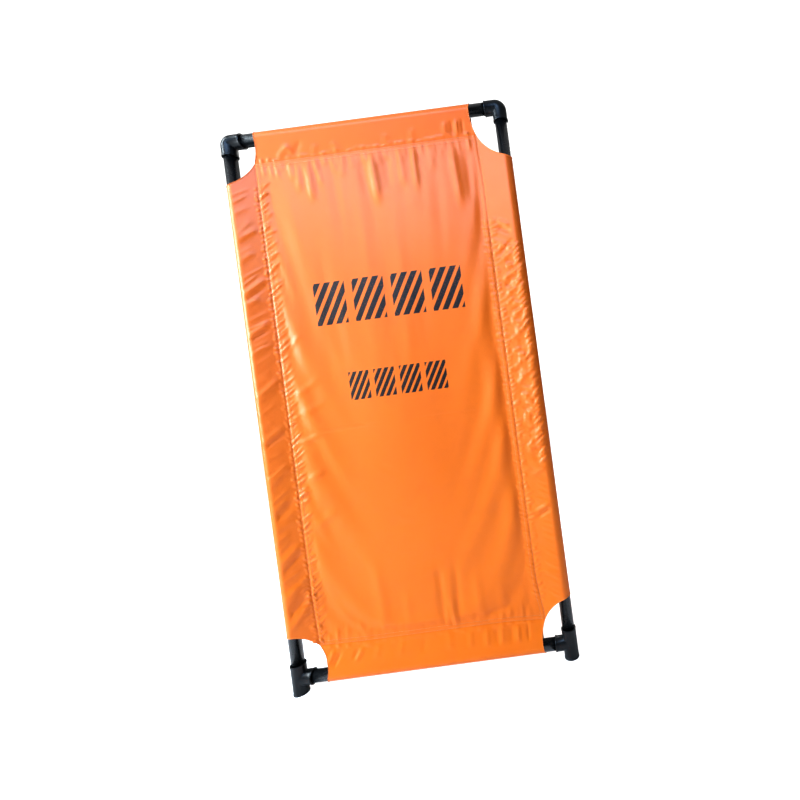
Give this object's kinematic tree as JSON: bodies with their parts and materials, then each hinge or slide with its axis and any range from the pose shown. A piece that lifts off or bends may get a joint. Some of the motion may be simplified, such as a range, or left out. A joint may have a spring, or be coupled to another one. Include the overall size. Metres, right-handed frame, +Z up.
{
  "type": "welding curtain screen",
  "caption": "Free-standing rectangular screen: an opaque coated-cloth curtain with sewn sleeves stretched on a frame of push-fit plastic pipe.",
  "frame": {"origin": "on the floor, midway between the uprights, in the plane of the frame", "axes": "+X to the right along the rails seen from the front, +Z up, the front of the curtain faces -Y"},
  "size_m": [0.9488, 0.0488, 1.8524],
  "materials": {
    "black_pvc": "satin-gloss extruded and moulded black plastic",
    "orange_coated_cloth": "satin-gloss plastic-coated cloth",
    "orange_thread": "matt twisted sewing thread"
  },
  "bodies": {
    "root": {"top_pipe": "black_pvc", "bottom_pipe": "black_pvc", "left_upright": "black_pvc", "right_upright": "black_pvc", "top_left_elbow": "black_pvc", "top_right_elbow": "black_pvc", "bottom_left_tee": "black_pvc", "bottom_right_tee": "black_pvc", "cover_panel": "orange_coated_cloth", "top_sleeve": "orange_coated_cloth", "bottom_sleeve": "orange_coated_cloth", "left_sleeve": "orange_coated_cloth", "right_sleeve": "orange_coated_cloth", "top_seam_thread": "orange_thread", "bottom_seam_thread": "orange_thread", "left_seam_thread": "orange_thread", "right_seam_thread": "orange_thread", "top_left_edge_thread": "orange_thread", "top_right_edge_thread": "orange_thread", "bottom_left_edge_thread": "orange_thread", "bottom_right_edge_thread": "orange_thread"}
  },
  "joints": []
}
